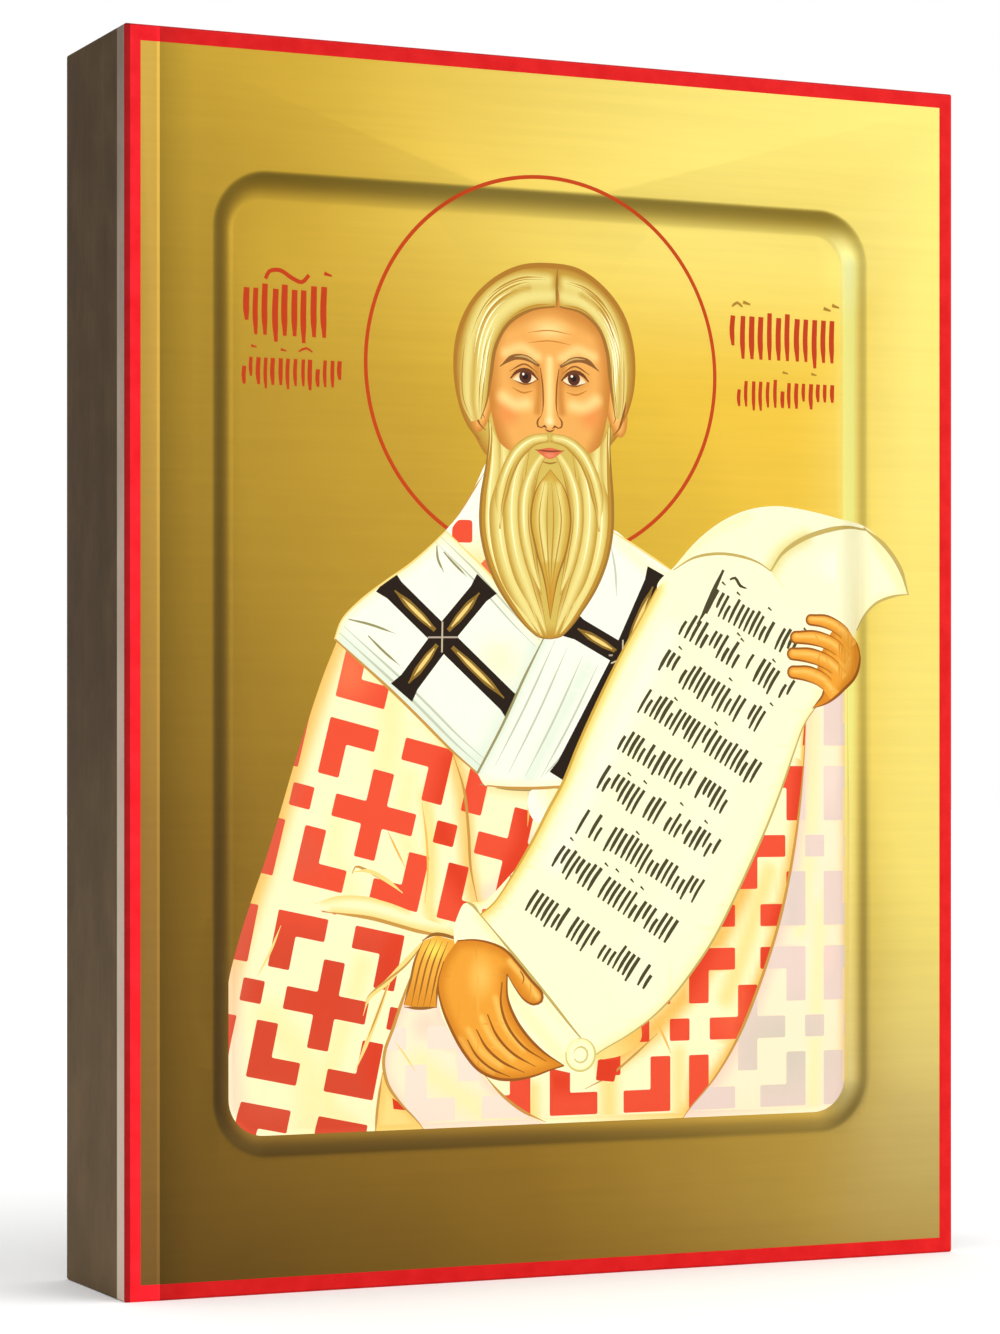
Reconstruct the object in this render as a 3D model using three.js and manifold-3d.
// An icon panel: a thick wooden board with a pale gesso facing bonded to its front.
// The facing carries the picture. A shallow field with rounded corners is sunk into it, with a smooth
// cove running all round between the raised margins and the field.
// Units are millimetres. X runs to the viewer's right, Y from the picture towards the back, Z up.
// The origin is the centre of the underside, on which the panel stands.
import * as THREE from "three";
import { mergeVertices } from "three/addons/utils/BufferGeometryUtils.js";
import Module from "manifold-3d";

// The whole panel
const PANEL_WIDTH = 150;
const PANEL_HEIGHT = 200;
const CORNER_RADIUS = 0.4; // of the outline seen from the front, along the edges that run front to back

// The board
const BOARD_THICKNESS = 26;
const BACK_ARRIS_RADIUS = 0.4; // rounding around the back face

// The facing
const FLOOR_THICKNESS = 2; // what is left of the facing behind the sunk field
const FIELD_DEPTH = 2; // from the margins down to the field
const FRONT_ARRIS_RADIUS = 0.5; // rounding around the front face

// The sunk field: the margins run from the panel's edge to the upper edge of the cove
const LEFT_MARGIN = 14.3;
const RIGHT_MARGIN = 16.8;
const TOP_MARGIN = 21.5;
const BOTTOM_MARGIN = 21.5;
const COVE_WIDTH = 4.5;
const FIELD_CORNER_RADIUS = 5; // at the foot of the cove

// The facet planed along the left edge of the front
const FACET_WIDTH = 5.7;
const FACET_DROP = 0.3;

// Fineness of the facets
const CORNER_STEPS = 10;
const ARRIS_STEPS = 4;
const COVE_STEPS = 10;

const FACING_THICKNESS = FLOOR_THICKNESS + FIELD_DEPTH;
const PANEL_DEPTH = BOARD_THICKNESS + FACING_THICKNESS;
const FRONT_Y = -PANEL_DEPTH / 2;
const JOINT_Y = FRONT_Y + FACING_THICKNESS;
const BACK_Y = PANEL_DEPTH / 2;

const panelOutline = {
  left: -PANEL_WIDTH / 2,
  right: PANEL_WIDTH / 2,
  bottom: 0,
  top: PANEL_HEIGHT,
  radius: CORNER_RADIUS,
};

const coveOutline = {
  left: panelOutline.left + LEFT_MARGIN,
  right: panelOutline.right - RIGHT_MARGIN,
  bottom: panelOutline.bottom + BOTTOM_MARGIN,
  top: panelOutline.top - TOP_MARGIN,
  radius: FIELD_CORNER_RADIUS + COVE_WIDTH,
};

// The same outline moved inwards by `by`. Its corners tighten, but never close to a point.
function inset(outline, by) {
  return {
    left: outline.left + by,
    right: outline.right - by,
    bottom: outline.bottom + by,
    top: outline.top - by,
    radius: Math.max(outline.radius - by, 0.1 * outline.radius),
  };
}

// The points of a rounded rectangle at depth y, counter-clockwise as seen from the front.
function ring({ left, right, bottom, top, radius }, y) {
  const corners = [
    [right - radius, bottom + radius, -Math.PI / 2],
    [right - radius, top - radius, 0],
    [left + radius, top - radius, Math.PI / 2],
    [left + radius, bottom + radius, Math.PI],
  ];
  const points = [];
  for (const [x, z, start] of corners) {
    for (let step = 0; step <= CORNER_STEPS; step++) {
      const angle = start + ((Math.PI / 2) * step) / CORNER_STEPS;
      points.push(
        new THREE.Vector3(x + radius * Math.cos(angle), y, z + radius * Math.sin(angle)),
      );
    }
  }
  return points;
}

// A quarter round of the given radius: how far it has come in and how far it still is from the face.
function* quarterRound(radius) {
  for (let step = 0; step <= ARRIS_STEPS; step++) {
    const angle = ((Math.PI / 2) * step) / ARRIS_STEPS;
    yield { inwards: radius * (1 - Math.cos(angle)), behind: radius * (1 - Math.sin(angle)) };
  }
}

// A closed solid through rings listed from the back of the piece to its front, with flat ends.
function loft(rings) {
  const count = rings[0].length;
  const positions = rings.flat().flatMap((point) => point.toArray());
  const faces = [];
  for (let level = 0; level + 1 < rings.length; level++) {
    for (let i = 0; i < count; i++) {
      const next = (i + 1) % count;
      const [a, b] = [level * count + i, level * count + next];
      faces.push(a, b, b + count, a, b + count, a + count);
    }
  }
  const last = (rings.length - 1) * count;
  const flat = rings[0].map((point) => new THREE.Vector2(point.x, point.z));
  for (const [a, b, c] of THREE.ShapeUtils.triangulateShape(flat, [])) {
    faces.push(c, b, a);
    faces.push(last + a, last + b, last + c);
  }
  const geometry = new THREE.BufferGeometry();
  geometry.setAttribute("position", new THREE.Float32BufferAttribute(positions, 3));
  geometry.setIndex(faces);
  return geometry;
}

const wasm = await Module();
wasm.setup();

function toSolid(geometry) {
  const bare = geometry.clone();
  bare.deleteAttribute("normal");
  bare.deleteAttribute("uv");
  const merged = mergeVertices(bare);
  return new wasm.Manifold(
    new wasm.Mesh({
      numProp: 3,
      vertProperties: merged.attributes.position.array,
      triVerts: new Uint32Array(merged.index.array),
    }),
  );
}

function toGeometry(solid) {
  const mesh = solid.getMesh();
  const geometry = new THREE.BufferGeometry();
  geometry.setAttribute("position", new THREE.BufferAttribute(mesh.vertProperties, mesh.numProp));
  geometry.setIndex(new THREE.BufferAttribute(mesh.triVerts, 1));
  return geometry;
}

// The wooden board behind the facing, with its back edges rounded over.
function boardGeometry() {
  const rings = [];
  for (const { inwards, behind } of quarterRound(BACK_ARRIS_RADIUS)) {
    rings.unshift(ring(inset(panelOutline, inwards), BACK_Y - behind));
  }
  rings.push(ring(panelOutline, JOINT_Y));
  return loft(rings);
}

// The wedge of material that the facet takes off the left edge of the front.
function facetWedge() {
  const spare = FACET_WIDTH; // how far the wedge runs clear of the panel
  const slope = FACET_DROP / FACET_WIDTH;
  const hinge = panelOutline.left + FACET_WIDTH;
  const outside = panelOutline.left - spare;
  const section = new THREE.Shape([
    new THREE.Vector2(hinge, FRONT_Y),
    new THREE.Vector2(outside, FRONT_Y + slope * (hinge - outside)),
    new THREE.Vector2(outside, FRONT_Y - spare),
    new THREE.Vector2(hinge, FRONT_Y - spare),
  ]);
  const wedge = new THREE.ExtrudeGeometry(section, {
    depth: PANEL_HEIGHT + 2 * spare,
    bevelEnabled: false,
  });
  return wedge.translate(0, 0, -spare);
}

// The facing: rounded front arris, flat margins, a cove with a smooth S-shaped profile, and the field.
function facingGeometry() {
  const rings = [ring(panelOutline, JOINT_Y)];
  for (const { inwards, behind } of quarterRound(FRONT_ARRIS_RADIUS)) {
    rings.push(ring(inset(panelOutline, inwards), FRONT_Y + behind));
  }
  for (let step = 0; step <= COVE_STEPS; step++) {
    const share = step / COVE_STEPS;
    const depth = (FIELD_DEPTH * (1 - Math.cos(Math.PI * share))) / 2;
    rings.push(ring(inset(coveOutline, COVE_WIDTH * share), FRONT_Y + depth));
  }
  return toGeometry(toSolid(loft(rings)).subtract(toSolid(facetWedge())));
}

function piece(name, geometry, look) {
  const mesh = new THREE.Mesh(geometry, new THREE.MeshStandardMaterial(look));
  mesh.name = name;
  return mesh;
}

const panel = new THREE.Group();
panel.name = "icon_panel";
panel.add(
  piece("board", boardGeometry(), { color: 0x51412f, roughness: 0.55, metalness: 0 }),
  piece("facing", facingGeometry(), { color: 0xc9a43c, roughness: 0.4, metalness: 0.6 }),
);

export default panel;
